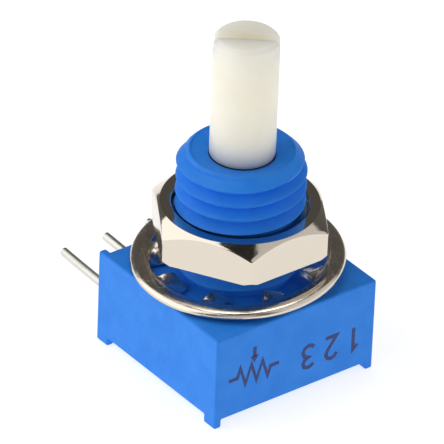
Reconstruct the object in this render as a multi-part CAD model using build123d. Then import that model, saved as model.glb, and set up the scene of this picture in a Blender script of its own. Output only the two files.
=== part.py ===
from build123d import *

import math
import os

# A square sealed rotary potentiometer for a panel, with its nut and lock washer.
# Millimetres. The origin is on the shaft's axis, in the face that seats on the panel.
# +Z runs up the shaft. The terminals leave the body along +Y.

os.makedirs("parts", exist_ok=True)

# Clearances
running_gap = 0.0225  # radial, shaft in bushing
sliding_gap = 0.02  # between pieces that turn past each other or slip over each other
assembly_gap = 0.08  # round the substrate in its pocket

# Housing
body_width = 9.53  # side face to side face
body_depth = 9.53  # front face to the ends of the rear ribs
body_height = 4.61  # panel face down to the rim
rear_recess = 0.38  # how far the rear face lies inside the ribs
rib_width = 0.42
side_wall = 0.865
front_wall = 0.865
rear_wall = 0.535
roof_thickness = 0.9
foot_length = 0.9
foot_height = 0.43
edge_radius = 0.12
pocket_corner_radius = 0.2

# Threaded bushing, drawn here at its thread's outer diameter
bushing_diameter = 6.3
bushing_length = 6.6
bushing_chamfer = 0.55
bushing_mouth_radius = 2.56
bushing_mouth_depth = 0.22

# Shaft
shaft_diameter = 3.175
shaft_length = 12.85  # panel face to the shaft's end
shaft_chamfer = 0.2
slot_width = 0.7
slot_depth = 0.9
slot_angle = -40.0
flange_radius = 2.3
flange_thickness = 0.5
flange_end_play = 0.05
drive_width = 2.0  # across the flats of the square that turns the rotor
rivet_head_radius = 1.3
rivet_head_height = 0.2
groove_depth = 0.5675
groove_width = 0.72
groove_setback = 0.54  # its middle below the bushing's end, so that the ring sits in the bore

# Rotor and its end stop
rotor_room_radius = 3.7
rotor_room_depth = 2.26
rotor_radius = 3.1
rotor_thickness = 0.7
rotor_lug_reach = 0.45
rotor_lug_half_angle = 17.0
stop_half_angle = 12.0
stop_reach = 0.4
travel_half_angle = 150.0

# Wiper
wiper_thickness = 0.12
wiper_inner_radius = 1.45
wiper_outer_radius = 2.9
wiper_peg_radius = 0.3
wiper_peg_circle = 2.2
finger_width = 0.26
finger_pitch = 0.34
finger_flat = 0.35
finger_run = 1.3
finger_tip_run = 0.3
finger_tip_lift = 0.15

# Element
substrate_thickness = 0.635
film_thickness = 0.04
track_radius = 2.75
track_width = 0.7
track_gap_half_angle = 30.0
collector_radius = 1.75
collector_width = 0.5
collector_lead_width = 0.6
collector_lead_end = 2.8
pad_width = 1.2
pad_length_under = 1.5

# Terminals
terminal_count = 3
terminal_pitch = 2.54
terminal_diameter = 0.457
blade_width = 0.55  # the wire's flattened inner end
blade_thickness = 0.3
terminal_reach = 5.83  # tip beyond the ribs
terminal_tip_ease = 0.1
solder_length = 1.1
solder_width = 1.0
solder_skin = 0.12
notch_gap = 0.16  # round a terminal, filled with resin
wire_bury = 0.1  # round wire inside the rear face
seal_recess = 0.14

# Nut
nut_across_flats = 7.94
nut_height = 1.98
nut_lift = 1.7  # under side above the panel face
nut_crown_radius = 3.85
nut_crown_slope = 40.0
nut_heel_radius = 4.4
nut_mouth_depth = 0.3

# Lock washer
washer_outer_radius = 5.19
washer_inner_radius = 4.25
washer_thickness = 0.42
washer_lift = 0.6  # its middle above the panel face
washer_tilt = 3.7  # degrees, lying high towards +X
tooth_count = 9
tooth_first_angle = 20.0
tooth_tip_radius = 3.42
tooth_root_width = 1.5
tooth_tip_width = 0.9
tooth_twist = -22.0
tooth_rise = 0.3  # how far its corners may stand from the washer's middle plane
tooth_bite = 0.15  # how far its root reaches into the ring

# Derived sizes
half_width = body_width / 2
front_y = -body_depth / 2
rib_end_y = body_depth / 2
rear_y = rib_end_y - rear_recess
rim_z = -body_height
foot_z = rim_z - foot_height
pocket_half_width = half_width - side_wall
pocket_front_y = front_y + front_wall
pocket_rear_y = rear_y - rear_wall
roof_z = -roof_thickness
ledge_z = roof_z - rotor_room_depth
bushing_radius = bushing_diameter / 2
shaft_radius = shaft_diameter / 2
groove_radius = shaft_radius - groove_depth
groove_middle = bushing_length - groove_setback
bore_radius = shaft_radius + running_gap
flange_top_z = roof_z - flange_end_play
rotor_top_z = flange_top_z - flange_thickness
rotor_bottom_z = rotor_top_z - rotor_thickness
wiper_bottom_z = rotor_bottom_z - wiper_thickness
substrate_top_z = ledge_z - film_thickness  # the silver ends touch the ledge
substrate_bottom_z = substrate_top_z - substrate_thickness
track_top_z = substrate_top_z + film_thickness
substrate_half_width = pocket_half_width - assembly_gap
substrate_front_y = pocket_front_y + assembly_gap
substrate_rear_y = pocket_rear_y - assembly_gap
pad_bottom_z = substrate_bottom_z - film_thickness
terminal_radius = terminal_diameter / 2
terminal_z = pad_bottom_z - terminal_radius
terminal_tip_y = rib_end_y + terminal_reach
pad_front_y = substrate_rear_y - pad_length_under
solder_front_y = pad_front_y + (pad_length_under - solder_length) / 2
notch_radius = terminal_radius + notch_gap
seal_z = rim_z + seal_recess
nut_bore_radius = bushing_radius + sliding_gap
nut_top_z = nut_lift + nut_height


def box(x0, x1, y0, y1, z0, z1):
    """A block between two corners."""
    size = (x1 - x0, y1 - y0, z1 - z0)
    middle = ((x0 + x1) / 2, (y0 + y1) / 2, (z0 + z1) / 2)
    return Pos(*middle) * Box(*size)


def post(radius, low, high):
    """A round bar about the Z axis."""
    return Pos(0, 0, (low + high) / 2) * Cylinder(radius, high - low)


def turned(points):
    """A solid of revolution about Z from (radius, z) points."""
    outline = [(radius, 0, z) for radius, z in points]
    return revolve(make_face(Polyline(*outline, close=True)), Axis.Z, 360)


def ring_sector(inner, outer, middle_angle, half_angle, low, high):
    """An arc-shaped slab about Z, its middle at the angle given."""
    start = middle_angle - half_angle
    rim = CenterArc((0, 0), outer, start, 2 * half_angle)
    bore = CenterArc((0, 0), inner, start, 2 * half_angle)
    edges = [rim, Line(rim @ 0, bore @ 0), bore, Line(bore @ 1, rim @ 1)]
    return Pos(0, 0, low) * extrude(make_face(edges), amount=high - low)


def slab(points, low, high):
    """A flat plate from an (x, y) outline."""
    return Pos(0, 0, low) * extrude(make_face(Polyline(*points, close=True)), amount=high - low)


def terminal_places():
    """The x of each terminal, from -X to +X."""
    first = -(terminal_count - 1) / 2 * terminal_pitch
    return [first + terminal_pitch * step for step in range(terminal_count)]


def body_block():
    """The moulding's outer form: block, rear ribs and four feet, edges eased."""
    block = box(-half_width, half_width, front_y, rear_y, rim_z, 0)
    for side in (-1, 1):
        inner = side * (half_width - rib_width)
        x0, x1 = sorted((inner, side * half_width))
        block += box(x0, x1, rear_y, rib_end_y, rim_z, 0)
        block += box(x0, x1, front_y, front_y + foot_length, foot_z, rim_z)
        block += box(x0, x1, rib_end_y - foot_length, rib_end_y, foot_z, rim_z)
    block = block.clean()
    uprights = block.edges().filter_by(Axis.Z).filter_by(
        lambda edge: abs(edge.center().X) > half_width - edge_radius
        and edge.length > body_height
    )
    block = fillet(uprights, edge_radius)
    top_edges = block.faces().sort_by(Axis.Z)[-1].edges()
    return chamfer(top_edges, edge_radius / 2)


def bushing():
    """The round boss with its lead-in chamfer, which stands on the block."""
    return turned([
        (0, roof_z / 2),
        (bushing_radius, roof_z / 2),
        (bushing_radius, bushing_length - bushing_chamfer),
        (bushing_mouth_radius, bushing_length),
        (0, bushing_length),
    ])


def terminal_notch(x):
    """The round-topped notch in the rear wall that a terminal leaves through."""
    length = rear_y - pocket_rear_y
    middle_y = (rear_y + pocket_rear_y) / 2
    arch = Pos(x, middle_y, terminal_z) * Rot(90, 0, 0) * Cylinder(notch_radius, length)
    slot = box(x - notch_radius, x + notch_radius, pocket_rear_y, rear_y, rim_z, terminal_z)
    return arch + slot


def make_housing():
    """Blue moulding: block and threaded bushing in one, hollow from below."""
    housing = body_block() + bushing()
    housing -= turned([
        (0, bushing_length - bushing_mouth_depth),
        (bore_radius, bushing_length - bushing_mouth_depth),
        (bushing_mouth_radius, bushing_length),
        (0, bushing_length),
    ])
    housing -= post(bore_radius, roof_z, bushing_length)
    housing -= post(rotor_room_radius, ledge_z, roof_z)
    pocket = box(-pocket_half_width, pocket_half_width, pocket_front_y, pocket_rear_y, rim_z, ledge_z)
    housing -= fillet(pocket.edges().filter_by(Axis.Z), pocket_corner_radius)
    housing += ring_sector(
        rotor_room_radius - stop_reach, rotor_room_radius + stop_reach / 4,
        90, stop_half_angle, rotor_bottom_z, roof_z,
    )
    for x in terminal_places():
        housing -= terminal_notch(x)
    return housing


def make_shaft():
    """Ivory shaft with a screwdriver slot, ring groove, flange, square drive and rivet head."""
    groove_low = groove_middle - groove_width / 2
    groove_high = groove_middle + groove_width / 2
    shaft = turned([
        (0, flange_top_z),
        (shaft_radius, flange_top_z),
        (shaft_radius, groove_low),
        (groove_radius, groove_low),
        (groove_radius, groove_high),
        (shaft_radius, groove_high),
        (shaft_radius, shaft_length - shaft_chamfer),
        (shaft_radius - shaft_chamfer, shaft_length),
        (0, shaft_length),
    ])
    shaft += post(flange_radius, rotor_top_z, flange_top_z)
    half_drive = drive_width / 2
    shaft += box(-half_drive, half_drive, -half_drive, half_drive, wiper_bottom_z, rotor_top_z)
    head_low = wiper_bottom_z - rivet_head_height
    shaft += post(rivet_head_radius, head_low, wiper_bottom_z)
    slot = Pos(0, 0, shaft_length - slot_depth / 2) * Box(shaft_diameter * 2, slot_width, slot_depth)
    return shaft - Rot(0, 0, slot_angle) * slot


def make_shaft_seal_ring():
    """Rubber ring in the shaft's groove, which wipes the bushing's bore."""
    section_radius = (bore_radius - sliding_gap - groove_radius) / 2
    middle_radius = groove_radius + section_radius
    return Pos(0, 0, groove_middle) * Torus(middle_radius, section_radius)


def wiper_pegs(radius, low, high):
    """The two pegs that hold the wiper under the rotor."""
    pegs = [Pos(x, 0, 0) * post(radius, low, high) for x in (-wiper_peg_circle, wiper_peg_circle)]
    return pegs[0] + pegs[1]


def make_rotor():
    """Black disc keyed on the shaft's square, with a stop lug and two pegs."""
    rotor = post(rotor_radius, rotor_bottom_z, rotor_top_z)
    rotor += ring_sector(
        rotor_radius - rotor_lug_reach, rotor_radius + rotor_lug_reach,
        -90, rotor_lug_half_angle, rotor_bottom_z, rotor_top_z,
    )
    rotor += wiper_pegs(wiper_peg_radius, wiper_bottom_z, rotor_bottom_z)
    half_hole = drive_width / 2 + sliding_gap
    return rotor - box(-half_hole, half_hole, -half_hole, half_hole, rotor_bottom_z, rotor_top_z)


def wiper_finger(contact_radius):
    """A springy strip that runs along a tangent and dips down to its track."""
    touch_z = track_top_z + sliding_gap
    touch_run = finger_flat + finger_run
    upper = [
        (0, wiper_bottom_z),
        (finger_flat, wiper_bottom_z),
        (touch_run, touch_z + wiper_thickness),
        (touch_run + finger_tip_run, touch_z + wiper_thickness + finger_tip_lift),
    ]
    lower = [
        (touch_run + finger_tip_run, touch_z + finger_tip_lift),
        (touch_run, touch_z),
        (finger_flat, wiper_bottom_z - wiper_thickness),
        (0, wiper_bottom_z - wiper_thickness),
    ]
    outline = [(run - touch_run / 2, 0, z) for run, z in upper + lower]
    strip = extrude(make_face(Polyline(*outline, close=True)), amount=finger_width / 2, both=True)
    chord = math.sqrt(contact_radius**2 - (touch_run / 2) ** 2)
    return Pos(0, -chord, 0) * strip


def make_wiper_contact():
    """Stamped spring: a ring plate under the rotor with fingers for both tracks."""
    plate = post(wiper_outer_radius, wiper_bottom_z, rotor_bottom_z)
    plate -= post(wiper_inner_radius, wiper_bottom_z, rotor_bottom_z)
    plate -= wiper_pegs(wiper_peg_radius + sliding_gap, wiper_bottom_z, rotor_bottom_z)
    for step in (-1, 0):
        plate += wiper_finger(track_radius + finger_pitch * (step + 0.5))
    return plate + wiper_finger(collector_radius)


def make_element_substrate():
    """White ceramic plate that carries the tracks."""
    return box(
        -substrate_half_width, substrate_half_width, substrate_front_y, substrate_rear_y,
        substrate_bottom_z, substrate_top_z,
    )


def make_resistive_track():
    """Printed horseshoe that the outer fingers wipe, open towards the terminals."""
    half = track_width / 2
    return ring_sector(
        track_radius - half, track_radius + half, -90, 180 - track_gap_half_angle,
        substrate_top_z, track_top_z,
    )


def make_collector_track():
    """Printed ring that the inner finger wipes, with its lead to the middle terminal."""
    half = collector_width / 2
    ring = post(collector_radius + half, substrate_top_z, track_top_z)
    ring -= post(collector_radius - half, substrate_top_z, track_top_z)
    half_lead = collector_lead_width / 2
    lead = box(
        -half_lead, half_lead, collector_radius, collector_lead_end,
        substrate_top_z, track_top_z,
    )
    return ring + lead


def track_end(radius, side):
    """A corner of the horseshoe's open end, on the side given."""
    angle = math.radians(90 - side * track_gap_half_angle)
    return (radius * math.cos(angle), radius * math.sin(angle))


def make_termination(x):
    """Fired silver that leads a track round the substrate's edge to its terminal."""
    half_pad = pad_width / 2
    if x == 0:
        top = slab([
            (-half_pad, collector_lead_end), (-half_pad, substrate_rear_y),
            (half_pad, substrate_rear_y), (half_pad, collector_lead_end),
        ], substrate_top_z, track_top_z)
    else:
        side = math.copysign(1, x)
        outer_x = x + side * half_pad
        inner_x = x - side * half_pad
        top = slab([
            track_end(track_radius - track_width / 2, side),
            track_end(track_radius + track_width / 2, side),
            (outer_x, substrate_rear_y - half_pad),
            (outer_x, substrate_rear_y),
            (inner_x, substrate_rear_y),
        ], substrate_top_z, track_top_z)
    edge_y = substrate_rear_y + film_thickness
    edge = box(x - half_pad, x + half_pad, substrate_rear_y, edge_y, pad_bottom_z, track_top_z)
    under = box(
        x - half_pad, x + half_pad, pad_front_y, substrate_rear_y,
        pad_bottom_z, substrate_bottom_z,
    )
    return top + edge + under


def make_terminal(x):
    """Round tinned wire with an eased tip, its inner end flattened to lie on a pad."""
    wire_start_y = rear_y - wire_bury
    length = terminal_tip_y - wire_start_y
    wire = Cylinder(terminal_radius, length, align=(Align.CENTER, Align.CENTER, Align.MIN))
    wire = chamfer(wire.edges().sort_by(Axis.Z)[-1], terminal_tip_ease)
    half = blade_width / 2
    blade_low = pad_bottom_z - blade_thickness
    blade = box(x - half, x + half, pad_front_y, wire_start_y, blade_low, pad_bottom_z)
    return Pos(x, wire_start_y, terminal_z) * Rot(-90, 0, 0) * wire + blade


def make_solder_joint(x, terminal):
    """Solder round the wire's flattened end where it lies on its pad."""
    low = pad_bottom_z - blade_thickness - solder_skin
    half = solder_width / 2
    bead = box(x - half, x + half, solder_front_y, solder_front_y + solder_length, low, pad_bottom_z)
    lower_edges = bead.faces().sort_by(Axis.Z)[0].edges()
    bead = chamfer(lower_edges, half / 2)
    return bead - terminal


def make_sealing_resin(inner_pieces):
    """Cast resin that closes the pocket under the substrate and fills the notches."""
    resin = box(
        -pocket_half_width, pocket_half_width, pocket_front_y, pocket_rear_y,
        seal_z, substrate_bottom_z,
    )
    resin = fillet(resin.edges().filter_by(Axis.Z), pocket_corner_radius)
    for x in terminal_places():
        resin += terminal_notch(x)
    for piece in inner_pieces:
        resin -= piece
    return resin


def make_hex_nut():
    """Thin plated nut, crowned on top and eased below, up the bushing by its lift."""
    prism = Pos(0, 0, nut_lift) * extrude(
        RegularPolygon(nut_across_flats / 2, 6, major_radius=False, rotation=0), amount=nut_height
    )
    reach = nut_across_flats / math.sqrt(3)
    slope = math.tan(math.radians(nut_crown_slope))
    envelope = turned([
        (0, nut_lift),
        (nut_heel_radius, nut_lift),
        (reach, nut_lift + (reach - nut_heel_radius) * slope),
        (reach, nut_top_z - (reach - nut_crown_radius) * slope),
        (nut_crown_radius, nut_top_z),
        (0, nut_top_z),
    ])
    nut = prism & envelope
    nut -= post(nut_bore_radius, nut_lift, nut_top_z)
    return nut - turned([
        (0, nut_top_z - nut_mouth_depth),
        (nut_bore_radius, nut_top_z - nut_mouth_depth),
        (nut_bore_radius + nut_mouth_depth, nut_top_z),
        (0, nut_top_z),
    ])


def washer_tooth(angle):
    """One tooth: a tapering tab that points inwards, twisted about its own length."""
    root_x = washer_inner_radius + tooth_bite
    outline = [
        (tooth_tip_radius, -tooth_tip_width / 2), (root_x, -tooth_root_width / 2),
        (root_x, tooth_root_width / 2), (tooth_tip_radius, tooth_tip_width / 2),
    ]
    tab = slab(outline, -washer_thickness / 2, washer_thickness / 2)
    return Rot(0, 0, angle) * Rot(tooth_twist, 0, 0) * tab


def make_lock_washer():
    """Plated washer with twisted inner teeth, lying loose and tilted round the bushing."""
    half = washer_thickness / 2
    washer = post(washer_outer_radius, -half, half) - post(washer_inner_radius, -half, half)
    for step in range(tooth_count):
        washer += washer_tooth(tooth_first_angle + 360 / tooth_count * step)
    washer &= post(washer_outer_radius, -tooth_rise, tooth_rise)
    return Pos(0, 0, washer_lift) * Rot(0, -washer_tilt, 0) * washer


def save(node, piece):
    """Write one node's STEP file."""
    export_step(piece, f"parts/{node}.step")
    print(node, round(piece.volume, 4))


def main():
    save("housing", make_housing())
    save("shaft", make_shaft())
    save("shaft_seal_ring", make_shaft_seal_ring())
    save("rotor", make_rotor())
    save("wiper_contact", make_wiper_contact())
    save("element_substrate", make_element_substrate())
    save("resistive_track", make_resistive_track())
    save("collector_track", make_collector_track())
    buried = []
    for number, x in enumerate(terminal_places(), start=1):
        terminal = make_terminal(x)
        solder = make_solder_joint(x, terminal)
        termination = make_termination(x)
        save(f"terminal_{number}", terminal)
        save(f"solder_joint_{number}", solder)
        save(f"termination_{number}", termination)
        buried += [termination, solder, terminal]
    save("sealing_resin", make_sealing_resin(buried))
    save("lock_washer", make_lock_washer())
    save("hex_nut", make_hex_nut())


main()
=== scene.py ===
# %% [markdown]
# # A small square potentiometer and its finishes
#
# The frame holds a sealed panel control: a blue moulded body with a threaded bushing, an
# ivory shaft, a plated hex nut, a toothed lock washer and three tinned wires. This script
# keeps every piece where the frame has it and gives it the surface that the real one shows.

# %% Load the frame
import math

import bmesh
import bpy
import numpy as np
from mathutils import Matrix, Vector


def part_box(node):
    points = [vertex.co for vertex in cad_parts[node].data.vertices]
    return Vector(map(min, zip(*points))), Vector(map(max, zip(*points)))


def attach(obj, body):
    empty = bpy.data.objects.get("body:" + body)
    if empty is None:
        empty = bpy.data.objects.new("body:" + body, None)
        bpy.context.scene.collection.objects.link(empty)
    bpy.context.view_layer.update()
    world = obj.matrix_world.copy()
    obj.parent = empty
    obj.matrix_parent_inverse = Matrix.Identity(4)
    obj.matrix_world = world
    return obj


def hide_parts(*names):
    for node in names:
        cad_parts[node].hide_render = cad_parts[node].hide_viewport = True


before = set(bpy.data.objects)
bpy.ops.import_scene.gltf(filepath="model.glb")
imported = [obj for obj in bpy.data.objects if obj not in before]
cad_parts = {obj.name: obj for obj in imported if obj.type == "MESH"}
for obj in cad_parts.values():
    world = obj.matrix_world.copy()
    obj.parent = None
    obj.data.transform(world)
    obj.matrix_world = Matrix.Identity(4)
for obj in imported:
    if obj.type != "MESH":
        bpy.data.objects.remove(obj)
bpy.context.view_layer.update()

# %% [markdown]
# Blender works in metres and this object is a centimetre across, so every size below is
# written in millimetres and multiplied by `MM`. Whatever the frame can tell, such as how
# wide the body is or how high the shaft stands, is read from the boxes of its nodes.

# %% Sizes that the frame gives
MM = 0.001
TURN = 2 * math.pi


def node_box(node):
    """Lowest and highest corner of a node, in millimetres."""
    low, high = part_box(node)
    return np.array(low) / MM, np.array(high) / MM


body_low, body_high = node_box("housing")
shaft_low, shaft_high = node_box("shaft")
nut_low, nut_high = node_box("hex_nut")
wire_low, wire_high = node_box("terminal_1")

half_width = body_high[0]
front_y = body_low[1]
rib_end_y = body_high[1]
foot_z = body_low[2]
bushing_top = body_high[2]
rear_y = node_box("sealing_resin")[1][1]
print("body", body_low.round(3), body_high.round(3), "shaft top", shaft_high[2].round(3))

# %% [markdown]
# ## Tools for making surfaces
#
# Every new piece is a grid of points: one direction runs along a profile, the other round
# the axis or along the part. Numpy works the whole grid out at once. Where a row shrinks to
# a point, or two rows meet, the doubled points are merged, so the skin has no holes.

# %% A mesh from a grid of points
def link(piece):
    bpy.context.scene.collection.objects.link(piece)
    return piece


def mesh_piece(name, bm):
    """Put a bmesh into a new object, faces outwards, smooth except where it turns sharply."""
    bmesh.ops.recalc_face_normals(bm, faces=bm.faces[:])
    mesh = bpy.data.meshes.new(name)
    bm.to_mesh(mesh)
    bm.free()
    mesh.shade_smooth()
    mesh.set_sharp_from_angle(angle=math.radians(32))
    return link(bpy.data.objects.new(name, mesh))


def grid_faces(rows, columns, close_rows, close_columns):
    """Corner numbers of the quads between neighbouring rows and columns of a grid."""
    r, c = np.meshgrid(
        np.arange(rows if close_rows else rows - 1),
        np.arange(columns if close_columns else columns - 1),
        indexing="ij",
    )
    up, over = (r + 1) % rows, (c + 1) % columns
    corners = (r * columns + c, r * columns + over, up * columns + over, up * columns + c)
    return np.stack(corners, -1).reshape(-1, 4)


def surface(name, grid, close_rows=True, close_columns=True):
    """A closed skin from points[row, column] in millimetres."""
    rows, columns = grid.shape[:2]
    mesh = bpy.data.meshes.new("grid")
    faces = grid_faces(rows, columns, close_rows, close_columns)
    mesh.from_pydata((grid.reshape(-1, 3) * MM).tolist(), [], faces.tolist())
    bm = bmesh.new()
    bm.from_mesh(mesh)
    bpy.data.meshes.remove(mesh)
    bmesh.ops.remove_doubles(bm, verts=bm.verts[:], dist=2e-8)
    bmesh.ops.dissolve_degenerate(bm, edges=bm.edges[:], dist=1e-8)
    return mesh_piece(name, bm)


# %% [markdown]
# No moulded, turned or stamped edge is a perfect knife. `eased` swaps each corner of a
# profile for a short curve that starts and ends a set distance from it, and those curves are
# what catches the light along an edge.

# %% Profiles with eased corners
def eased(profile, ease, steps=4):
    """Replace each corner of a closed (a, b) profile by a curve that begins and ends `ease` from it.

    The curve is the parabola whose tangents are the two sides: a weighted mean of the start
    point, the corner and the end point, with weights (1-t)^2, 2t(1-t) and t^2.
    """
    corner = np.asarray(profile, float)
    before = np.roll(corner, 1, axis=0) - corner
    after = np.roll(corner, -1, axis=0) - corner
    size_before = np.linalg.norm(before, axis=1, keepdims=True)
    size_after = np.linalg.norm(after, axis=1, keepdims=True)
    cut = np.minimum(ease, 0.45 * np.minimum(size_before, size_after))
    start = corner + before / size_before * cut
    end = corner + after / size_after * cut
    t = np.linspace(0, 1, steps + 1)[None, :, None]
    curve = (1 - t) ** 2 * start[:, None] + 2 * t * (1 - t) * corner[:, None] + t**2 * end[:, None]
    return curve.reshape(-1, 2)


def lathe(name, profile, columns=192):
    """Turn a closed (radius, height) profile about the Z axis."""
    profile = np.asarray(profile, float)
    angle = np.arange(columns) / columns * TURN
    radius, height = profile[:, :1], profile[:, 1:]
    grid = np.stack([
        radius * np.cos(angle), radius * np.sin(angle), height + 0 * angle,
    ], -1)
    return surface(name, grid)


def prism(name, outline, depth_from, depth_to, axis="y"):
    """Push a closed (across, up) outline along Y, or an (x, y) outline along Z."""
    outline = np.asarray(outline, float)
    depth = np.array([depth_from, depth_to], float)[:, None]
    across, up = outline[None, :, 0] + 0 * depth, outline[None, :, 1] + 0 * depth
    along = depth + 0 * across
    order = (across, along, up) if axis == "y" else (across, up, along)
    points = np.stack(order, -1).reshape(-1, 3) * MM
    count = len(outline)
    faces = grid_faces(2, count, False, True).tolist()
    faces += [list(range(count)), list(range(count, 2 * count))]
    mesh = bpy.data.meshes.new("prism")
    mesh.from_pydata(points.tolist(), [], faces)
    bm = bmesh.new()
    bm.from_mesh(mesh)
    bpy.data.meshes.remove(mesh)
    return mesh_piece(name, bm)


# %% [markdown]
# Some shapes are easiest to carve: the pocket under the body, the screwdriver slot. A Boolean
# modifier does it, and its result is written back into the mesh at once, so nothing is left
# for the renderer to work out and the helper object can go.

# %% Carving and joining
def settle(piece):
    """Write a piece's modifiers into its mesh."""
    depsgraph = bpy.context.evaluated_depsgraph_get()
    result = bpy.data.meshes.new_from_object(piece.evaluated_get(depsgraph))
    old = piece.data
    piece.modifiers.clear()
    piece.data = result
    bpy.data.meshes.remove(old)
    return piece


def combine(piece, tool, operation):
    """Cut `tool` out of `piece`, or join it on, and remove the tool."""
    boolean = piece.modifiers.new(operation, "BOOLEAN")
    boolean.operation = operation
    boolean.object = tool
    boolean.solver = "EXACT"
    settle(piece)
    bpy.data.objects.remove(tool)
    return piece


def round_edges(piece, width, segments=4, angle=40):
    """Bevel the edges that turn by more than `angle` degrees, then settle."""
    bevel = piece.modifiers.new("edge", "BEVEL")
    bevel.width = width * MM
    bevel.segments = segments
    bevel.limit_method = "ANGLE"
    bevel.angle_limit = math.radians(angle)
    return settle(piece)


def smooth_flats(piece, angle=32):
    """Shade smooth, keep sharp turns sharp, and let large flat faces rule the normals."""
    piece.data.shade_smooth()
    piece.data.set_sharp_from_angle(angle=math.radians(angle))
    weights = piece.modifiers.new("flats", "WEIGHTED_NORMAL")
    weights.keep_sharp = True
    return piece


# %% [markdown]
# ## The body block
#
# The block, the two ribs past the rear face and the four feet are one moulding. Its outer form
# is thought of as cells between a few cutting planes: a cell is either plastic or air, and the
# skin is every wall between the two. Comparing a true-or-false array with itself, moved by one
# cell, finds those walls. A bevel then gives all edges the small radius of the mould.

# %% Skin of a block made of cells
def cell_skin(name, cuts, filled):
    """The walls between filled and empty cells of a box grid; cuts are the planes on each axis."""
    padded = np.pad(filled, 1)
    corners = {}
    faces = []
    for axis in range(3):
        change = np.diff(padded.astype(int), axis=axis)
        others = [a for a in range(3) if a != axis]
        for cell in np.argwhere(change != 0):
            index = cell - 1
            index[axis] += 1
            ring = []
            for step in ((0, 0), (1, 0), (1, 1), (0, 1)):
                corner = index.copy()
                corner[others[0]] += step[0]
                corner[others[1]] += step[1]
                ring.append(corners.setdefault(tuple(corner), len(corners)))
            faces.append(ring)
    points = [[cuts[a][corner[a]] * MM for a in range(3)] for corner in corners]
    mesh = bpy.data.meshes.new("cells")
    mesh.from_pydata(points, [], faces)
    bm = bmesh.new()
    bm.from_mesh(mesh)
    bpy.data.meshes.remove(mesh)
    bmesh.ops.recalc_face_normals(bm, faces=bm.faces[:])
    bmesh.ops.dissolve_limit(bm, angle_limit=0.01, verts=bm.verts[:], edges=bm.edges[:])
    return mesh_piece(name, bm)


rib_width = 0.42
foot_length = 0.9
foot_height = 0.43
rim_z = foot_z + foot_height
edge_radius = 0.11

x_cuts = [-half_width, -half_width + rib_width, half_width - rib_width, half_width]
y_cuts = [front_y, front_y + foot_length, rib_end_y - foot_length, rear_y, rib_end_y]
z_cuts = [foot_z, rim_z, 0]
cells = np.zeros((3, 4, 2), bool)
cells[:, :3, 1] = True
cells[[0, 2], 3, 1] = True
cells[[0, 2], 0, 0] = True
cells[[0, 2], 2:, 0] = True

housing = cell_skin("housing_moulding", (x_cuts, y_cuts, z_cuts), cells)
round_edges(housing, edge_radius)
print("block", len(housing.data.polygons), "faces")

# %% [markdown]
# ## The threaded bushing
#
# A screw thread is a radius that depends on height and angle: count the turns from a crest,
# drop the whole turns, and the remainder says how far the point is from the nearest crest.
# The rows of the grid follow the helix, so crest and root lines run cleanly round instead of
# stepping. Rows that leave the threaded length are held at its ends, where they merge.

# %% Thread
pitch = 25.4 / 32
crest_radius = 3.14
root_radius = 2.64
crest_flat = 0.05
crest_round = 0.03
crest_dome = 0.02
thread_start = 0.05
thread_low = 0.5
neck_radius = 2.7
mouth_radius = 2.56
mouth_depth = 0.22
lead_in_depth = 0.55
shaft_radius = 1.5875
bore_radius = 1.61
roof_thickness = 0.9


def thread_radius(angle, height, crest, root):
    """Radius of a right-hand thread at an angle and height.

    The number of turns above a crest is (height - start) / pitch - angle / full turn. Its
    distance from the nearest whole number, times the pitch, is the distance to a crest.
    """
    turns = (height - thread_start) / pitch - angle / TURN
    distance = np.abs(turns - np.round(turns)) * pitch
    half_flat = crest_flat / 2
    root_edge = pitch / 2 - half_flat
    depth = crest - root
    return np.interp(
        distance,
        [0, half_flat, half_flat + crest_round, root_edge - crest_round, root_edge],
        [crest, crest - crest_dome, crest - 0.1 * depth, root + 0.08 * depth, root],
    )


def helix_rows(angle, low, high, per_pitch=14):
    """Heights of rows that climb with the thread, held between low and high."""
    half_flat = crest_flat / 2
    root_edge = pitch / 2 - half_flat
    slope = np.linspace(half_flat + crest_round, root_edge - crest_round, per_pitch // 2 - 2)
    side = np.concatenate([[0, half_flat * 0.6, half_flat], slope, [root_edge]])
    offsets = np.unique(np.concatenate([side, pitch - side, [pitch / 2]]))[:-1] / pitch
    first = math.floor((low - thread_start) / pitch) - 2
    last = math.ceil((high - thread_start) / pitch) + 1
    turns = (np.arange(first, last)[:, None] + offsets).ravel()
    height = thread_start + pitch * (turns[:, None] + angle / TURN)
    return np.clip(height, low, high)


def lead_in(height):
    """Radius that the cone at the bushing's end allows at a height."""
    slope = (crest_radius - mouth_radius) / lead_in_depth
    return mouth_radius + slope * (bushing_top - height)


def constant_rows(points, angle):
    """Rows of the same radius and height all round, from (radius, height) pairs."""
    pairs = np.asarray(points, float)
    return pairs[:, :1] + 0 * angle, pairs[:, 1:] + 0 * angle


def helical_surface(name, rows_before, thread, rows_after, columns):
    """Close a thread with plain rows. Its seam, one turn on, falls on the same points."""
    angle = np.linspace(0, TURN, columns + 1)
    before = constant_rows(rows_before, angle)
    after = constant_rows(rows_after, angle)
    middle = thread(angle)
    radius = np.concatenate([before[0], middle[0], after[0]])
    height = np.concatenate([before[1], middle[1], after[1]])
    grid = np.stack([radius * np.cos(angle), radius * np.sin(angle), height], -1)
    return surface(name, grid, close_columns=False)


def mould_seam(angle):
    """Height of the flash where the two mould halves met: a narrow hump at -X and at +X."""
    off = np.abs((angle + TURN / 4) % (TURN / 2) - TURN / 4)
    return 0.022 * np.exp(-((off / 0.014) ** 2))


def bushing_thread(angle):
    height = helix_rows(angle, thread_low, bushing_top)
    radius = thread_radius(angle, height, crest_radius, root_radius) + mould_seam(angle)
    return np.minimum(radius, np.minimum(lead_in(height), crest_radius)), height


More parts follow.
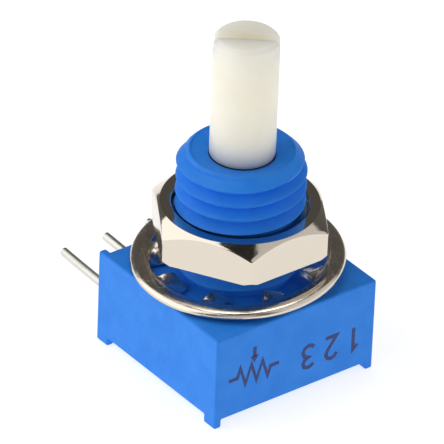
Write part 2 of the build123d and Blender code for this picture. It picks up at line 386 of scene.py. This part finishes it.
buried_z = -roof_thickness + 0.05
bushing = helical_surface(
    "bushing",
    [
        (bore_radius, buried_z), (neck_radius, buried_z),
        (neck_radius, thread_low - 0.25), (root_radius + 0.03, thread_low - 0.02),
    ],
    bushing_thread,
    [
        (mouth_radius - 0.03, bushing_top), (mouth_radius - 0.08, bushing_top - 0.01),
        (mouth_radius - 0.13, bushing_top - 0.07), (mouth_radius - 0.2, bushing_top - 0.085),
        (bore_radius + 0.012, bushing_top - mouth_depth),
        (bore_radius, bushing_top - mouth_depth - 0.02),
    ],
    columns=288,
)
print("bushing", len(bushing.data.polygons), "faces")

# %% [markdown]
# The block is joined to the bushing and hollowed from below: a round room for the rotor, the
# square pocket that takes the ceramic plate and the resin, and three round-topped notches in
# the rear wall where the wires come out.

# %% Hollow the housing and join its bushing
side_wall = 0.865
rear_wall = 0.535
room_depth = 2.26
pocket_corner = 0.2
pocket_half = half_width - side_wall
pocket_front = front_y + side_wall
pocket_rear = rear_y - rear_wall
ledge_z = -roof_thickness - room_depth
rotor_room_radius = 3.7
wire_radius = (wire_high[2] - wire_low[2]) / 2
wire_z = (wire_high[2] + wire_low[2]) / 2
notch_gap = 0.16
notch_radius = wire_radius + notch_gap
wire_pitch = 2.54
wire_places = [-wire_pitch, 0.0, wire_pitch]
spare = 0.5


def rectangle(low_a, high_a, low_b, high_b):
    return [(low_a, low_b), (high_a, low_b), (high_a, high_b), (low_a, high_b)]


def arch(x, radius, middle_z, bottom_z, steps=24):
    """Outline of a notch: straight sides that end in a half circle."""
    angle = np.linspace(0, math.pi, steps)
    top = np.stack([x + radius * np.cos(angle), middle_z + radius * np.sin(angle)], -1)
    return np.concatenate([[(x + radius, bottom_z)], top, [(x - radius, bottom_z)]])


hole_radius = bore_radius + 0.3
clear_hole = rectangle(0, hole_radius, -roof_thickness - 0.2, spare)
room = rectangle(0, rotor_room_radius, ledge_z - spare, -roof_thickness)
pocket = prism(
    "pocket",
    eased(rectangle(-pocket_half, pocket_half, pocket_front, pocket_rear), pocket_corner),
    foot_z - spare, ledge_z, axis="z",
)
combine(housing, pocket, "DIFFERENCE")
combine(housing, lathe("room", room, 96), "DIFFERENCE")
combine(housing, lathe("hole", clear_hole, 96), "DIFFERENCE")
for x in wire_places:
    outline = arch(x, notch_radius, wire_z, foot_z - spare)
    notch = prism("notch", outline, pocket_rear - 0.1, rear_y + spare)
    combine(housing, notch, "DIFFERENCE")
combine(housing, bushing, "UNION")
smooth_flats(housing)
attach(housing, "body")
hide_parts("housing")
print("housing", len(housing.data.polygons), "faces")

# %% [markdown]
# ## The shaft
#
# A plain bar turned on the lathe function: rivet head, square for the rotor, flange, groove for
# the seal ring, and the free end with its chamfer. The screwdriver slot is cut last, at the
# angle that the shaft stands at.

# %% Shaft
flange_radius = 2.3
flange_gap = 0.05
flange_thickness = 0.5
flange_top = -roof_thickness - flange_gap
flange_low = flange_top - flange_thickness
rotor_thickness = 0.7
wiper_thickness = 0.12
drive_low = flange_low - rotor_thickness - wiper_thickness
head_low = shaft_low[2]
head_radius = 1.3
drive_core = 0.9
drive_half = 1.0
groove_radius = 1.02
groove_low, groove_high = 5.70, 6.42
shaft_top = shaft_high[2]
end_chamfer = 0.2
slot_width = 0.7
slot_depth = 0.9
slot_angle = math.radians(-40)
shaft_ease = 0.05

shaft_profile = [
    (0, head_low), (head_radius, head_low), (head_radius, drive_low), (drive_core, drive_low),
    (drive_core, flange_low), (flange_radius, flange_low), (flange_radius, flange_top),
    (shaft_radius, flange_top), (shaft_radius, groove_low), (groove_radius, groove_low),
    (groove_radius, groove_high), (shaft_radius, groove_high),
    (shaft_radius, shaft_top - end_chamfer), (shaft_radius - end_chamfer, shaft_top), (0, shaft_top),
]
shaft = lathe("shaft_bar", eased(shaft_profile, shaft_ease, steps=3))
drive = prism(
    "drive", rectangle(-drive_half, drive_half, -drive_half, drive_half),
    drive_low - 0.05, flange_low + 0.05, axis="z",
)
combine(shaft, drive, "UNION")
slot_tool = prism(
    "slot",
    rectangle(-shaft_radius * 2, shaft_radius * 2, -slot_width / 2, slot_width / 2),
    shaft_top - slot_depth, shaft_top + spare, axis="z",
)
slot_tool.data.transform(Matrix.Rotation(slot_angle, 4, "Z"))
combine(shaft, slot_tool, "DIFFERENCE")
smooth_flats(shaft)
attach(shaft, "spindle")
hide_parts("shaft")
print("shaft", len(shaft.data.polygons), "faces")

# %% [markdown]
# ## The hex nut
#
# Seen from above, a hexagon's edge is a radius that depends on the angle. A cone crowns the
# corners: the further out a point of the edge lies, the lower its top is, which draws the
# curved line on each flat. The bore carries the same thread as the bushing, a little larger.

# %% Nut
nut_half_flats = nut_high[1]
nut_bottom, nut_top = nut_low[2], nut_high[2]
corner_round = 0.16
crown_radius = 3.85
crown_slope = math.tan(math.radians(40))
heel_radius = 4.4
nut_mouth_radius = 3.33
nut_clearance = 0.05
nut_edge = 0.035
bottom_inset, top_inset = 0.3, 0.32


def hexagon_radius(angle):
    """Distance from the axis to a hexagon's edge, its corners rounded.

    The nearest flat faces a direction a twelfth of a turn from the corner, and lies at half the
    width over flats divided by the cosine of the angle to that direction. Close to the corner
    a small circle that touches both flats takes over: its centre lies on the corner's line.
    """
    to_corner = np.abs((angle + TURN / 12) % (TURN / 6) - TURN / 12)
    flat = nut_half_flats / np.cos(TURN / 12 - to_corner)
    corner = nut_half_flats / math.cos(TURN / 12)
    centre = corner - corner_round / math.cos(TURN / 12)
    across = centre * np.sin(to_corner)
    arc = centre * np.cos(to_corner) + np.sqrt(np.maximum(corner_round**2 - across**2, 0))
    touch_across = corner_round * math.sin(TURN / 12)
    touch_out = centre + corner_round * math.cos(TURN / 12)
    return np.where(to_corner < math.atan2(touch_across, touch_out), arc, flat)


def crown(radius):
    """Height of the nut's top: level inside the crown's radius, then down a cone."""
    return nut_top - np.maximum(radius - crown_radius, 0) * crown_slope


def nut_skin(columns=360):
    """Rows from the bore's mouth over the crown, down the flats and back under the nut."""
    angle = np.linspace(0, TURN, columns + 1)
    edge = hexagon_radius(angle)
    top = crown(edge)
    bottom = nut_bottom + np.maximum(edge - heel_radius, 0) * crown_slope
    height = helix_rows(angle, nut_bottom + bottom_inset, nut_top - top_inset)
    thread = thread_radius(angle, height, crest_radius, root_radius) + nut_clearance
    outside = []
    for share in (0.0, 0.25, 0.5, 0.75, 1.0):
        radius = crown_radius + (edge - nut_edge - crown_radius) * share
        outside.append((radius, crown(radius)))
    outside.append((edge - nut_edge * 0.25, top - nut_edge * 0.2))
    outside.append((edge, top - nut_edge * 1.1))
    for share in (0.25, 0.5, 0.75):
        outside.append((edge, top + (bottom - top) * share))
    outside.append((edge, bottom + nut_edge))
    outside.append((edge - nut_edge, bottom - nut_edge * 0.2))
    outside.append((np.minimum(heel_radius, edge - 2 * nut_edge), nut_bottom + 0 * angle))
    inner_mouth = crest_radius + nut_clearance
    flat_rows = [
        (inner_mouth + 0.1, nut_bottom), (inner_mouth, nut_bottom + 0.1),
    ]
    after = constant_rows(flat_rows, angle)
    lip = constant_rows([
        (inner_mouth, nut_top - top_inset + 0.02), (nut_mouth_radius - 0.03, nut_top - 0.03),
        (nut_mouth_radius + 0.04, nut_top), (crown_radius - 0.03, nut_top),
    ], angle)
    radius = np.concatenate([
        thread, lip[0], np.stack([r + 0 * angle for r, _ in outside]), after[0],
    ])
    level = np.concatenate([
        height, lip[1], np.stack([z + 0 * angle for _, z in outside]), after[1],
    ])
    return np.stack([radius * np.cos(angle), radius * np.sin(angle), level], -1)


nut = surface("nut_plated", nut_skin(), close_columns=False)
smooth_flats(nut, 20)
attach(nut, "body")
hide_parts("hex_nut")
print("nut", len(nut.data.polygons), "faces")

# %% [markdown]
# ## The lock washer
#
# A stamped ring whose inner teeth are twisted, so that one corner of each bites up and the
# other down. Its inner edge is again a radius that depends on the angle: far out in the gaps,
# close in on the teeth, with a slanting flank between. The section is a rounded rectangle
# carried round that ring, and the twist lifts each point by how far round the tooth it lies.
# Stamping left the upper face a little domed, with faint ripples that break up its reflections.

# %% Washer
tooth_count = 9
tooth_first = math.radians(20)
gap_radius = 4.25
tip_radius = 3.42
washer_outer = 5.19
washer_half = 0.21
tooth_half_root = math.radians(10.6)
tooth_half_tip = math.radians(8.2)
tooth_twist = math.radians(27)
tooth_droop = 0.05
outer_round, inner_round = 0.19, 0.06
dish_depth, dish_limit = 0.08, 0.1
lowest_tooth, highest_tooth = -0.36, 0.38
washer_lift = 0.6
washer_rows = 48
washer_tilt = math.radians(3.7)


def inner_edge(steps_flank=12, steps_tip=7, steps_gap=9):
    """Points along the whole inner edge: angle, radius, and angle from the nearest tooth's middle."""
    pitch_angle = TURN / tooth_count
    flank = np.linspace(0, 1, steps_flank)
    ease = flank**2 * (3 - 2 * flank)
    flank_angle = tooth_half_root + (tooth_half_tip - tooth_half_root) * flank
    flank_radius = gap_radius + (tip_radius - gap_radius) * (0.35 * ease + 0.65 * flank)
    tip_angle = np.linspace(-tooth_half_tip, tooth_half_tip, steps_tip + 2)[1:-1]
    tip = tip_radius / np.cos(tip_angle) * math.cos(tooth_half_tip)
    gap_angle = np.linspace(tooth_half_root, pitch_angle - tooth_half_root, steps_gap + 2)[1:-1]
    dip = 0.06 * np.sin(np.linspace(0, math.pi, steps_gap + 2)[1:-1])
    angle = np.concatenate([-flank_angle, tip_angle, flank_angle[::-1], gap_angle])
    radius = np.concatenate([flank_radius, tip, flank_radius[::-1], gap_radius + dip])
    turns = np.arange(tooth_count)[:, None] * pitch_angle
    around = (tooth_first + turns + angle).ravel()
    return around, np.tile(radius, tooth_count), np.tile(angle, tooth_count)


def washer_skin():
    """Carry a rounded section round the ring and twist the teeth; the caller tilts the whole."""
    angle, inner, within = inner_edge()
    share = (1 - np.cos(np.linspace(0, math.pi, washer_rows))) / 2
    across = np.concatenate([share, share[::-1]])
    side = np.repeat([1.0, -1.0], washer_rows)
    near_edge = np.minimum(across, 1 - across)
    span = (washer_outer - inner)[None, :]
    edge_distance = near_edge[:, None] * span
    edge_round = np.where(across[:, None] < 0.5, outer_round, inner_round) + 0 * span
    into_round = np.maximum(edge_round - edge_distance, 0)
    drop = edge_round - np.sqrt(np.maximum(edge_round**2 - into_round**2, 0))
    radius = washer_outer - across[:, None] * span
    height = side[:, None] * (washer_half - drop)
    twist_from = gap_radius + 0.1
    inward = np.clip((twist_from - radius) / (twist_from - tip_radius), 0, 1)
    twist_share = np.clip(inward**1.3 * (3 - 2 * inward), 0, 1)
    on_tooth = np.abs(within) <= tooth_half_root + 1e-6
    tangent = radius * np.sin(np.where(on_tooth, within, 0))[None, :]
    turn = tooth_twist * twist_share
    centre_line = (washer_outer + gap_radius) / 2
    dish = dish_depth * ((radius - centre_line) / (washer_outer - centre_line)) ** 2
    ripple = 0.0022 * np.sin(radius * 31) + 0.0018 * np.sin(radius * 47 + 1.3 * np.sin(angle * 2))
    height = height + (ripple - np.minimum(dish, dish_limit)) * (side[:, None] > 0)
    droop = tooth_droop * twist_share * on_tooth
    new_height = height * np.cos(turn) - tangent * np.sin(turn) - droop
    new_tangent = tangent * np.cos(turn) + height * np.sin(turn)
    slide = new_tangent - tangent
    x = radius * np.cos(angle) - slide * np.sin(angle)
    y = radius * np.sin(angle) + slide * np.cos(angle)
    z = np.clip(new_height, lowest_tooth, highest_tooth)
    return np.stack([x, y, z], -1)


washer = surface("washer_plated", washer_skin())
washer.data.transform(
    Matrix.Translation((0, 0, washer_lift * MM)) @ Matrix.Rotation(-washer_tilt, 4, "Y")
)
smooth_flats(washer, 40)
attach(washer, "body")
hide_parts("lock_washer")
print("washer", len(washer.data.polygons), "faces")

# %% [markdown]
# ## The wires
#
# Three tinned copper wires leave the rear face. Each is a circle carried along a line that is
# never quite straight: a slow bend of up to a fifth of a millimetre, different for each, and a
# tip that is sheared and then rounded by the tin.

# %% Terminal wires
wire_start = pocket_rear - 0.6
wire_end = wire_high[1]
tip_dome = 0.13
tip_shrink = 0.75


def wire_skin(x, sway, rows=64, columns=40):
    """A circle of the wire's radius, shrinking to a dome at its tip, along a slightly bent line."""
    along = np.linspace(0, 1, rows) ** 0.9
    y = wire_start + (wire_end - wire_start) * along
    from_tip = wire_end - y
    inner = np.clip(tip_dome - from_tip, 0, tip_dome)
    shrink = 1 - tip_shrink * (1 - np.sqrt(np.maximum(1 - (inner / tip_dome) ** 2, 0)))
    radius = wire_radius * shrink
    y = np.concatenate([[wire_start], y, [wire_end]])
    radius = np.concatenate([[0], radius, [0]])
    free = np.clip((y - rear_y) / (wire_end - rear_y), 0, 1)
    middle_x = x + sway[0] * free**2
    middle_z = wire_z + sway[1] * np.sin(free * math.pi) * 0.5 + sway[2] * free**2
    angle = np.arange(columns) / columns * TURN
    return np.stack([
        middle_x[:, None] + radius[:, None] * np.cos(angle),
        y[:, None] + 0 * angle,
        middle_z[:, None] + radius[:, None] * np.sin(angle),
    ], -1)


# Each wire's bend: sideways at the tip, the hump half way, upwards at the tip.
sways = [(-0.05, -0.05, 0.2), (-0.03, 0.0, 0.17), (0.03, 0.02, 0.06)]
wires = []
for number, (x, sway) in enumerate(zip(wire_places, sways), start=1):
    wire = surface(f"wire_{number}", wire_skin(x, sway), close_rows=False)
    smooth_flats(wire, 50)
    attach(wire, "body")
    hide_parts(f"terminal_{number}")
    wires.append(wire)
print("wires", len(wires), "to y", wire_end.round(2))

# %% [markdown]
# ## The marks on the front face
#
# Such a control carries a small printed mark. Here it is a plain one: the sign for an
# adjustable resistor, which is a zigzag with an arrow on it, and the numbers of the three
# terminals. It is a film of ink a few microns proud of the plastic.

# %% Printed marks
ink_rise = 0.006
ink_y = front_y - ink_rise
stroke = 0.2
mitre_limit = 2.4


def thick_line(points, width):
    """Outline of a line with mitred corners.

    Each point moves out along the mean of its two normals, and further where the line turns
    sharply, by one over the cosine of half the turn, up to a limit.
    """
    points = np.asarray(points, float)
    step = np.diff(points, axis=0)
    step /= np.linalg.norm(step, axis=1, keepdims=True)
    normal = np.stack([-step[:, 1], step[:, 0]], -1)
    first, last = normal[:1], normal[-1:]
    mean = np.concatenate([first, normal[:-1] + normal[1:], last])
    mean /= np.linalg.norm(mean, axis=1, keepdims=True)
    half_turn_cosine = np.sum(mean[1:-1] * normal[:-1], axis=1)
    stretch = np.concatenate([[1], 1 / half_turn_cosine, [1]]).clip(1, mitre_limit)
    shift = mean * stretch[:, None] * width / 2
    return np.concatenate([points + shift, (points - shift)[::-1]])


def strip(name, points, width):
    return prism(name, thick_line(points, width), ink_y, front_y + ink_rise)


digit_lines = {
    "1": [(0.1, 0.8), (0.32, 1.0), (0.32, 0.0)],
    "2": [
        (0, 0.8), (0.1, 0.95), (0.27, 1), (0.44, 0.93), (0.52, 0.76), (0.45, 0.58),
        (0.02, 0.0), (0.55, 0.0),
    ],
    "3": [
        (0, 0.88), (0.13, 0.98), (0.28, 1), (0.44, 0.93), (0.5, 0.77), (0.43, 0.61), (0.24, 0.54),
        (0.44, 0.45), (0.53, 0.27), (0.45, 0.08), (0.27, 0), (0.11, 0.03), (0, 0.13),
    ],
}


digit_middle = (0.27, 0.5)
digit_height = 1.25
digit_z = -2.9
first_digit_x = 0.75
digit_pitch = 1.4


def digit(text, x, z, height):
    """One numeral drawn with the same pen, upside down as the part stands, about its middle."""
    line = (np.array(digit_lines[text]) - digit_middle) * height
    return strip("digit", np.array([x, z]) - line, stroke)


def join(name, parts):
    """Put several meshes into one piece."""
    bm = bmesh.new()
    for part in parts:
        bm.from_mesh(part.data)
        bpy.data.objects.remove(part)
    mesh = bpy.data.meshes.new(name)
    bmesh.ops.remove_doubles(bm, verts=bm.verts[:], dist=1e-8)
    bm.to_mesh(mesh)
    bm.free()
    return link(bpy.data.objects.new(name, mesh))


sign_z = -2.55
sign_left = -4.0
sign_lead = 0.5
zig_height = 0.5
zig_step = 0.33
zig_count = 6
zig_from = sign_left + sign_lead
zig_to = zig_from + zig_count * zig_step
zigzag = [(sign_left, sign_z), (zig_from, sign_z)]
zigzag += [
    (zig_from + zig_step * (k + 0.5), sign_z + zig_height * (-1) ** k) for k in range(zig_count)
]
zigzag += [(zig_to, sign_z), (zig_to + sign_lead, sign_z)]
arrow_x = zig_from + zig_step * 3
arrow_z = sign_z + zig_height
stem_top, stem_low = arrow_z + 0.95, arrow_z + 0.4
head_base, head_tip = arrow_z + 0.45, arrow_z + 0.06
head_half = 0.26
marks = [
    strip("zigzag", zigzag, stroke),
    strip("stem", [(arrow_x, stem_top), (arrow_x, stem_low)], stroke),
    prism(
        "head",
        [(arrow_x - head_half, head_base), (arrow_x + head_half, head_base), (arrow_x, head_tip)],
        ink_y, front_y + ink_rise,
    ),
]
for step, text in enumerate("321"):
    marks.append(digit(text, first_digit_x + step * digit_pitch, digit_z, digit_height))
print_marks = join("printed_marks", marks)
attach(print_marks, "body")
print("marks", len(print_marks.data.polygons), "faces")

# %% [markdown]
# ## Finishes
#
# A finish is a Principled shader whose roughness, colour and bump vary a little with noise on
# Object coordinates. The object is tiny, so the noise scales are large: a scale of 1000 makes
# spots about a millimetre across, and bump heights are microns.

# %% A finish and its noise
def new_finish(name, colour, roughness, metallic=0.0):
    material = bpy.data.materials.new(name)
    material.use_nodes = True
    shader = material.node_tree.nodes["Principled BSDF"]
    shader.inputs["Base Color"].default_value = (*colour, 1)
    shader.inputs["Roughness"].default_value = roughness
    shader.inputs["Metallic"].default_value = metallic
    return material, shader


def noise(material, scale, detail=3.0, stretch=(1, 1, 1)):
    """A noise value on Object coordinates, stretched if asked."""
    nodes, links = material.node_tree.nodes, material.node_tree.links
    place = nodes.new("ShaderNodeTexCoord")
    mapping = nodes.new("ShaderNodeMapping")
    mapping.inputs["Scale"].default_value = stretch
    texture = nodes.new("ShaderNodeTexNoise")
    texture.inputs["Scale"].default_value = scale
    texture.inputs["Detail"].default_value = detail
    links.new(place.outputs["Object"], mapping.inputs["Vector"])
    links.new(mapping.outputs["Vector"], texture.inputs["Vector"])
    return texture.outputs["Fac"]


def spread(material, value, low, high, from_low=0.3, from_high=0.7):
    """Map a noise value on to the range that a socket needs."""
    node = material.node_tree.nodes.new("ShaderNodeMapRange")
    node.inputs["From Min"].default_value = from_low
    node.inputs["From Max"].default_value = from_high
    node.inputs["To Min"].default_value = low
    node.inputs["To Max"].default_value = high
    material.node_tree.links.new(value, node.inputs["Value"])
    return node.outputs["Result"]


def vary_colour(material, shader, value, first, second):
    """Blend two colours by a noise value."""
    ramp = material.node_tree.nodes.new("ShaderNodeValToRGB")
    ramp.color_ramp.elements[0].position = 0.35
    ramp.color_ramp.elements[0].color = (*first, 1)
    ramp.color_ramp.elements[1].position = 0.65
    ramp.color_ramp.elements[1].color = (*second, 1)
    material.node_tree.links.new(value, ramp.inputs["Fac"])
    material.node_tree.links.new(ramp.outputs["Color"], shader.inputs["Base Color"])


def vary_roughness(material, shader, value, low, high):
    material.node_tree.links.new(spread(material, value, low, high), shader.inputs["Roughness"])


def bump(material, shader, *layers):
    """Stack bumps; each layer is (value, height in microns)."""
    nodes, links = material.node_tree.nodes, material.node_tree.links
    last = None
    for value, microns in layers:
        node = nodes.new("ShaderNodeBump")
        node.inputs["Strength"].default_value = 1.0
        node.inputs["Distance"].default_value = microns * 1e-6
        links.new(value, node.inputs["Height"])
        if last:
            links.new(last, node.inputs["Normal"])
        last = node.outputs["Normal"]
    links.new(last, shader.inputs["Normal"])


def dress(piece, material):
    piece.data.materials.clear()
    piece.data.materials.append(material)


# %% [markdown]
# The body plastic is a filled thermoplastic, blue right through. The mould was spark-eroded,
# so its skin has a very fine grain, and slow waves where the melt flowed.

# %% Blue moulding
blue, shader = new_finish("blue_moulding", (0.02, 0.232, 0.82), 0.5)
vary_colour(blue, shader, noise(blue, 900, 4), (0.016, 0.22, 0.79), (0.025, 0.245, 0.845))
vary_roughness(blue, shader, noise(blue, 5000, 3), 0.44, 0.58)
bump(blue, shader, (noise(blue, 700, 2), 7.0), (noise(blue, 4500, 3), 13.0))
shader.inputs["Specular IOR Level"].default_value = 0.25
dress(housing, blue)

# %% [markdown]
# The shaft is an unfilled, slightly see-through nylon: light goes in and comes out again close
# by, which softens its shading. Handling leaves faint marks along it.

# %% Ivory moulding
ivory, shader = new_finish("ivory_moulding", (0.88, 0.835, 0.725), 0.42)
vary_colour(ivory, shader, noise(ivory, 500, 3), (0.86, 0.815, 0.705), (0.9, 0.855, 0.745))
vary_roughness(ivory, shader, noise(ivory, 2500, 3, (1, 1, 0.3)), 0.34, 0.5)
bump(ivory, shader, (noise(ivory, 900, 2, (1, 1, 0.25)), 4.0), (noise(ivory, 12000, 2), 0.8))
shader.inputs["Subsurface Weight"].default_value = 0.9
shader.inputs["Subsurface Radius"].default_value = (1.0, 0.9, 0.7)
shader.inputs["Subsurface Scale"].default_value = 0.0025
dress(shaft, ivory)

# %% [markdown]
# Bright nickel is a warm mirror over metal that was not polished first, so the reflection
# ripples: broad waves from the stamping or turning, and small pits and rubs in the plate.

# %% Nickel plate
nickel, shader = new_finish("nickel_plate", (0.71, 0.645, 0.55), 0.1, metallic=1.0)
vary_roughness(nickel, shader, noise(nickel, 3500, 4), 0.06, 0.14)
bump(nickel, shader, (noise(nickel, 2600, 2, (1, 1, 0.12)), 3.0), (noise(nickel, 7000, 3), 0.7))
dress(nut, nickel)
stamped, shader = new_finish("stamped_nickel_plate", (0.76, 0.68, 0.58), 0.2, metallic=1.0)
vary_roughness(stamped, shader, noise(stamped, 3500, 4), 0.16, 0.28)
bump(stamped, shader, (noise(stamped, 1400, 2), 5.0), (noise(stamped, 9000, 2), 0.7))
dress(washer, stamped)

# %% [markdown]
# Dipped tin is duller than plated nickel, and its noise is drawn out along the wire.

# %% Tinned wire
tinned, shader = new_finish("tinned_wire", (0.68, 0.665, 0.62), 0.3, metallic=1.0)
vary_roughness(tinned, shader, noise(tinned, 2500, 4, (1, 0.25, 1)), 0.22, 0.42)
bump(tinned, shader, (noise(tinned, 2200, 3, (1, 0.2, 1)), 5.0), (noise(tinned, 16000, 2), 0.8))
for wire in wires:
    dress(wire, tinned)

# %% [markdown]
# The ink is a dark blue that lies thin in places, so its colour wanders more than the body's.

# %% Ink
ink, shader = new_finish("printing_ink", (0.015, 0.03, 0.15), 0.55)
vary_colour(ink, shader, noise(ink, 9000, 4), (0.01, 0.02, 0.11), (0.022, 0.05, 0.23))
bump(ink, shader, (noise(ink, 14000, 2), 1.5))
dress(print_marks, ink)

# %% [markdown]
# The pieces that the housing hides keep the shapes that the frame gave them. They get finishes
# too, because the object can be taken apart: black rotor, springy copper alloy, fired ceramic
# with its printed tracks, silver ends, solder, rubber and the cast resin underneath.

# %% Hidden pieces and the resin
def plain_finish(name, colour, other, roughness, metallic, scale, microns):
    """A two-tone finish with one noise for colour, one for roughness and one for bump."""
    material, shader = new_finish(name, colour, roughness, metallic)
    vary_colour(material, shader, noise(material, scale, 3), colour, other)
    vary_roughness(material, shader, noise(material, scale * 3, 3), roughness - 0.06, roughness + 0.08)
    bump(material, shader, (noise(material, scale * 2, 3), microns))
    return material


finishes = {
    "rotor": plain_finish("rotor_moulding", (0.02, 0.02, 0.022), (0.035, 0.035, 0.037), 0.5, 0, 1500, 3),
    "shaft_seal_ring": plain_finish("seal_rubber", (0.012,) * 3, (0.025,) * 3, 0.65, 0, 2500, 4),
    "wiper_contact": plain_finish("spring_strip", (0.8, 0.56, 0.3), (0.86, 0.64, 0.38), 0.28, 1, 1800, 2),
    "element_substrate": plain_finish("fired_ceramic", (0.84, 0.83, 0.8), (0.9, 0.89, 0.86), 0.6, 0, 2200, 3),
    "resistive_track": plain_finish("track_film", (0.02, 0.02, 0.02), (0.05, 0.045, 0.04), 0.55, 0, 3500, 2),
    "collector_track": plain_finish("silver_print", (0.72, 0.71, 0.68), (0.8, 0.79, 0.75), 0.4, 1, 3000, 2),
    "sealing_resin": plain_finish("cast_resin", (0.015, 0.05, 0.2), (0.02, 0.07, 0.26), 0.2, 0, 500, 14),
}
silver = finishes["collector_track"]
solder = plain_finish("solder", (0.62, 0.62, 0.62), (0.72, 0.72, 0.71), 0.32, 1, 2500, 6)
for number in (1, 2, 3):
    finishes[f"termination_{number}"] = silver
    finishes[f"solder_joint_{number}"] = solder
for node, material in finishes.items():
    dress(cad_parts[node], material)
print("finished nodes", len(finishes))

# %% [markdown]
# ## The set
#
# The object stands on a pale table in a dim room with a dark ceiling. A large soft lamp stands
# at its left, a weaker one at its right, a small one in front and a small one overhead. The
# floor takes the object's shadow. It also glows, as paper on a light table does, and the
# strength that the camera and the plate see is set apart from the strength that it lights with.

# %% Floor
def pale_floor():
    bm = bmesh.new()
    bmesh.ops.create_grid(bm, x_segments=1, y_segments=1, size=1.5)
    bmesh.ops.translate(bm, verts=bm.verts[:], vec=(0, 0, foot_z * MM))
    floor = mesh_piece("floor", bm)
    material, shader = new_finish("floor_paint", (0.5, 0.5, 0.5), 0.9)
    shader.inputs["Specular IOR Level"].default_value = 0.0
    shader.inputs["Emission Color"].default_value = (1, 1, 1, 1)
    nodes, links = material.node_tree.nodes, material.node_tree.links
    path = nodes.new("ShaderNodeLightPath")
    glow = nodes.new("ShaderNodeMix")
    glow.inputs["A"].default_value = glow_cast
    glow.inputs["B"].default_value = glow_seen
    seen = path.outputs["Is Camera Ray"]
    for ray in ("Is Glossy Ray", "Is Transmission Ray"):
        either = nodes.new("ShaderNodeMath")
        either.operation = "MAXIMUM"
        links.new(seen, either.inputs[0])
        links.new(path.outputs[ray], either.inputs[1])
        seen = either.outputs[0]
    links.new(seen, glow.inputs["Factor"])
    links.new(glow.outputs["Result"], shader.inputs["Emission Strength"])
    dress(floor, material)
    return floor


glow_seen = 0.75
glow_cast = 0.8
pale_floor()

# %% [markdown]
# The world's colour depends on height alone. Each lamp is given by its radiance, so that a lamp
# can be moved or resized without a change in how bright it looks: a flat lamp's power is its
# radiance times pi times its area.

# %% Room light
def room_light():
    """A dim world: grey round the horizon, a warmer grey above it and a dark ceiling."""
    world = bpy.data.worlds.new("room")
    bpy.context.scene.world = world
    world.use_nodes = True
    nodes, links = world.node_tree.nodes, world.node_tree.links
    background = nodes["Background"]
    place = nodes.new("ShaderNodeTexCoord")
    split = nodes.new("ShaderNodeSeparateXYZ")
    links.new(place.outputs["Generated"], split.inputs[0])
    ramp = nodes.new("ShaderNodeValToRGB")
    ramp.color_ramp.elements[0].position = 0.0
    ramp.color_ramp.elements[0].color = (0.155, 0.155, 0.155, 1)
    ramp.color_ramp.elements[1].position = 0.9
    ramp.color_ramp.elements[1].color = (0.025, 0.025, 0.025, 1)
    haze = ramp.color_ramp.elements.new(0.5)
    haze.color = (0.094, 0.09, 0.084, 1)
    links.new(split.outputs["Z"], ramp.inputs["Fac"])
    links.new(ramp.outputs["Color"], background.inputs["Color"])


def soft_light(name, azimuth, elevation, distance, size, radiance):
    """A square lamp that faces the middle of the object."""
    lamp = bpy.data.lights.new(name, "AREA")
    lamp.size = size
    lamp.energy = radiance * math.pi * size**2
    holder = link(bpy.data.objects.new(name, lamp))
    around, up = math.radians(azimuth), math.radians(elevation)
    away = Vector((math.cos(around) * math.cos(up), math.sin(around) * math.cos(up), math.sin(up)))
    target = Vector((0, 0, 3 * MM))
    holder.location = target + away * distance
    holder.rotation_euler = away.to_track_quat("Z", "Y").to_euler()
    return holder


room_light()
soft_light("left_box", azimuth=152, elevation=32, distance=0.3, size=0.46, radiance=1.37)
soft_light("right_box", azimuth=-50, elevation=32, distance=0.3, size=0.46, radiance=0.62)
soft_light("front_card", azimuth=-128, elevation=20, distance=0.45, size=0.26, radiance=0.43)
soft_light("top_box", azimuth=52, elevation=76, distance=0.4, size=0.2, radiance=2.6)
print("lights placed")

# %% [markdown]
# The camera stands off the front left corner, well above the nut, with a long lens that keeps
# the body's edges almost parallel. It leans a couple of degrees, and looks a little off the
# shaft's axis so that the object fills the frame.

# %% Camera
def aim_camera(azimuth, elevation, roll, distance, across, up, lens):
    """Place the camera round the Z axis, then roll it and slide it in its own picture plane."""
    around, rise = math.radians(azimuth), math.radians(elevation)
    back = Vector((math.sin(around) * math.cos(rise), -math.cos(around) * math.cos(rise), math.sin(rise)))
    level = Vector((math.cos(around), math.sin(around), 0))
    top = back.cross(level)
    turn = math.radians(roll)
    right = level * math.cos(turn) + top * math.sin(turn)
    upward = top * math.cos(turn) - level * math.sin(turn)
    camera = link(bpy.data.objects.new("camera", bpy.data.cameras.new("camera")))
    place = back * distance + right * across + upward * up
    rows = [(right[i], upward[i], back[i], place[i]) for i in range(3)]
    camera.matrix_world = Matrix(rows + [(0, 0, 0, 1)])
    camera.data.lens = lens
    camera.data.clip_start = 0.01
    camera.data.clip_end = 20
    bpy.context.scene.camera = camera


aim_camera(
    azimuth=-38.253, elevation=32.585, roll=2.325,
    distance=300 * MM, across=-0.742 * MM, up=2.079 * MM, lens=507.5,
)
bpy.context.scene.view_settings.view_transform = "Standard"
